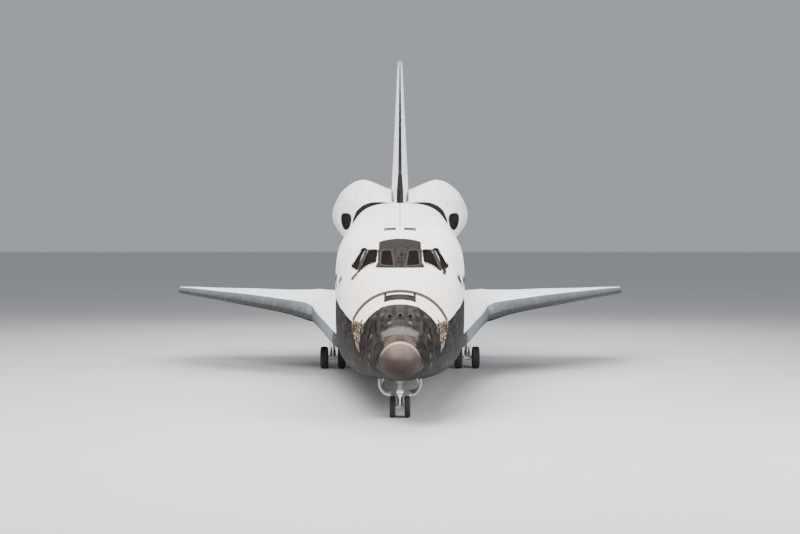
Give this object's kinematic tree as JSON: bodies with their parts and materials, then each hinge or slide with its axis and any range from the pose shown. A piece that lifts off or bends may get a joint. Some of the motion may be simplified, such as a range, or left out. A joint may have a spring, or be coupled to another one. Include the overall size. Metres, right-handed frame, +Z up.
{
  "type": "space shuttle orbiter on its landing gear",
  "caption": "Winged spaceplane parked on its gear, with opening cargo bay doors, side hatch, split rudder, elevons, body flap, gimballed engines and steered nose wheels.",
  "frame": {"origin": "on the ground, below the middle of the overall box", "axes": "nose towards -Y, tail towards +Y, port wing towards +X, +Z up"},
  "size_m": [23.7896, 36.2294, 17.1979],
  "materials": {
    "white_insulation": "matt quilted blanket and white tile, faint seams and streaks",
    "nose_tiles": "white tile above, black tile below, worn edges",
    "black_tiles": "black ceramic tile, weathered grey and brown",
    "carbon_panels": "grey coated carbon, matt",
    "nose_cap_carbon": "brown-grey coated carbon, matt",
    "window_glass": "dark glossy glass",
    "structure": "primed aluminium structure",
    "engine_metal": "heat-tinted nozzle metal",
    "gear_paint": "white gloss paint on steel",
    "wheel_metal": "cast wheel metal",
    "tyre_rubber": "black rubber",
    "cabin_trim": "grey cabin trim"
  },
  "bodies": {
    "airframe": {"nose_cap": "nose_cap_carbon", "forward_rcs_module": "nose_tiles", "front_window_port": "window_glass", "front_window_starboard": "window_glass", "middle_window_port": "window_glass", "middle_window_starboard": "window_glass", "side_window_port": "window_glass", "side_window_starboard": "window_glass", "overhead_window_port": "window_glass", "overhead_window_starboard": "window_glass", "forward_fuselage": "nose_tiles", "flight_deck": "cabin_trim", "instrument_panel": "cabin_trim", "commander_chair": "cabin_trim", "pilot_chair": "cabin_trim", "mid_fuselage": "white_insulation", "aft_fuselage": "white_insulation", "oms_pod_port": "white_insulation", "oms_pod_starboard": "white_insulation", "oms_engine_port": "engine_metal", "oms_engine_starboard": "engine_metal", "vertical_fin": "white_insulation", "wing_port": "white_insulation", "wing_starboard": "white_insulation", "leading_edge_port": "carbon_panels", "leading_edge_starboard": "carbon_panels", "main_leg_port": "gear_paint", "main_leg_starboard": "gear_paint", "main_gear_door_port": "structure", "main_gear_door_starboard": "structure", "nose_leg": "gear_paint", "nose_gear_door_port": "structure", "nose_gear_door_starboard": "structure"},
    "steered_strut": {"nose_fork": "gear_paint"},
    "nose_wheels": {"nose_axle": "wheel_metal", "nose_tyre_port": "tyre_rubber", "nose_tyre_starboard": "tyre_rubber"},
    "main_wheels_port": {"main_axle_port": "wheel_metal", "outer_tyre_port": "tyre_rubber", "inner_tyre_port": "tyre_rubber"},
    "main_wheels_starboard": {"main_axle_starboard": "wheel_metal", "outer_tyre_starboard": "tyre_rubber", "inner_tyre_starboard": "tyre_rubber"},
    "inboard_elevon_port": {"inboard_elevon_port": "white_insulation"},
    "outboard_elevon_port": {"outboard_elevon_port": "white_insulation"},
    "inboard_elevon_starboard": {"inboard_elevon_starboard": "white_insulation"},
    "outboard_elevon_starboard": {"outboard_elevon_starboard": "white_insulation"},
    "body_flap": {"body_flap": "black_tiles"},
    "rudder": {"rudder_shaft": "gear_paint"},
    "rudder_panel_port": {"rudder_panel_port": "white_insulation"},
    "rudder_panel_starboard": {"rudder_panel_starboard": "white_insulation"},
    "bay_door_port": {"bay_door_port": "white_insulation"},
    "bay_door_starboard": {"bay_door_starboard": "white_insulation"},
    "crew_hatch": {"crew_hatch": "white_insulation", "hatch_window": "window_glass"},
    "main_engine_upper": {"main_engine_upper": "engine_metal"},
    "main_engine_port": {"main_engine_port": "engine_metal"},
    "main_engine_starboard": {"main_engine_starboard": "engine_metal"}
  },
  "joints": [
    {"name": "nose_steering", "type": "hinge", "parent": "airframe", "child": "steered_strut", "pos_m": [0, -14.45541, 0.70496], "axis": [0, -0.0698, 0.9976], "range_deg": [-10, 10]},
    {"name": "nose_wheels_spin", "type": "hinge", "parent": "steered_strut", "child": "nose_wheels", "pos_m": [0, -14.40599, 0.40287], "axis": [1, 0, 0], "continuous": true},
    {"name": "main_wheels_port_spin", "type": "hinge", "parent": "airframe", "child": "main_wheels_port", "pos_m": [3.4544, 5.83133, 0.56289], "axis": [1, 0, 0], "continuous": true},
    {"name": "main_wheels_starboard_spin", "type": "hinge", "parent": "airframe", "child": "main_wheels_starboard", "pos_m": [-3.4544, 5.83133, 0.56289], "axis": [1, 0, 0], "continuous": true},
    {"name": "inboard_elevon_port_hinge", "type": "hinge", "parent": "airframe", "child": "inboard_elevon_port", "pos_m": [2.9591, 11.06352, 3.34944], "axis": [0.9984, -0.0039, 0.0559], "range_deg": [-25, 40]},
    {"name": "outboard_elevon_port_hinge", "type": "hinge", "parent": "airframe", "child": "outboard_elevon_port", "pos_m": [7.9629, 11.04391, 3.62955], "axis": [0.9984, -0.004, 0.0566], "range_deg": [-25, 40]},
    {"name": "inboard_elevon_starboard_hinge", "type": "hinge", "parent": "airframe", "child": "inboard_elevon_starboard", "pos_m": [-2.9591, 11.06352, 3.34944], "axis": [0.9984, 0.0039, -0.0559], "range_deg": [-25, 40]},
    {"name": "outboard_elevon_starboard_hinge", "type": "hinge", "parent": "airframe", "child": "outboard_elevon_starboard", "pos_m": [-7.9629, 11.04391, 3.62955], "axis": [0.9984, 0.004, -0.0566], "range_deg": [-25, 40]},
    {"name": "body_flap_hinge", "type": "hinge", "parent": "airframe", "child": "body_flap", "pos_m": [0, 14.74853, 3.44952], "axis": [1, 0, 0], "range_deg": [-22.5, 11.7]},
    {"name": "rudder_turn", "type": "hinge", "parent": "airframe", "child": "rudder", "pos_m": [0, 13.67599, 11.52233], "axis": [0, 0.5125, 0.8587], "range_deg": [-27.1, 27.1]},
    {"name": "speedbrake_port", "type": "hinge", "parent": "rudder", "child": "rudder_panel_port", "pos_m": [0, 13.67599, 11.52233], "axis": [0, -0.5125, -0.8587], "range_deg": [0, 49.3]},
    {"name": "speedbrake_starboard", "type": "hinge", "parent": "rudder", "child": "rudder_panel_starboard", "pos_m": [0, 13.67599, 11.52233], "axis": [0, 0.5125, 0.8587], "range_deg": [0, 49.3]},
    {"name": "bay_door_port_hinge", "type": "hinge", "parent": "airframe", "child": "bay_door_port", "pos_m": [2.70764, -0.35723, 5.72766], "axis": [0, 0.9976, 0.0698], "range_deg": [0, 175.5]},
    {"name": "bay_door_starboard_hinge", "type": "hinge", "parent": "airframe", "child": "bay_door_starboard", "pos_m": [-2.70764, -0.35723, 5.72766], "axis": [0, -0.9976, -0.0698], "range_deg": [0, 175.5]},
    {"name": "crew_hatch_hinge", "type": "hinge", "parent": "airframe", "child": "crew_hatch", "pos_m": [2.52984, -10.98469, 2.95695], "axis": [0, 0.9976, 0.0698], "range_deg": [0, 90]},
    {"name": "main_engine_upper_gimbal", "type": "hinge", "parent": "airframe", "child": "main_engine_upper", "pos_m": [0, 12.26388, 7.29861], "axis": [0, -0.3421, 0.9397], "range_deg": [-8.5, 8.5]},
    {"name": "main_engine_port_gimbal", "type": "hinge", "parent": "airframe", "child": "main_engine_port", "pos_m": [1.3462, 13.0298, 4.79583], "axis": [0, -0.242, 0.9703], "range_deg": [-8.5, 8.5]},
    {"name": "main_engine_starboard_gimbal", "type": "hinge", "parent": "airframe", "child": "main_engine_starboard", "pos_m": [-1.3462, 13.0298, 4.79583], "axis": [0, -0.242, 0.9703], "range_deg": [-8.5, 8.5]}
  ],
  "couplings": [
    {"joint": "speedbrake_starboard", "follows": "speedbrake_port", "ratio": 1},
    {"joint": "main_engine_port_gimbal", "follows": "main_engine_upper_gimbal", "ratio": 1},
    {"joint": "main_engine_starboard_gimbal", "follows": "main_engine_upper_gimbal", "ratio": 1}
  ]
}
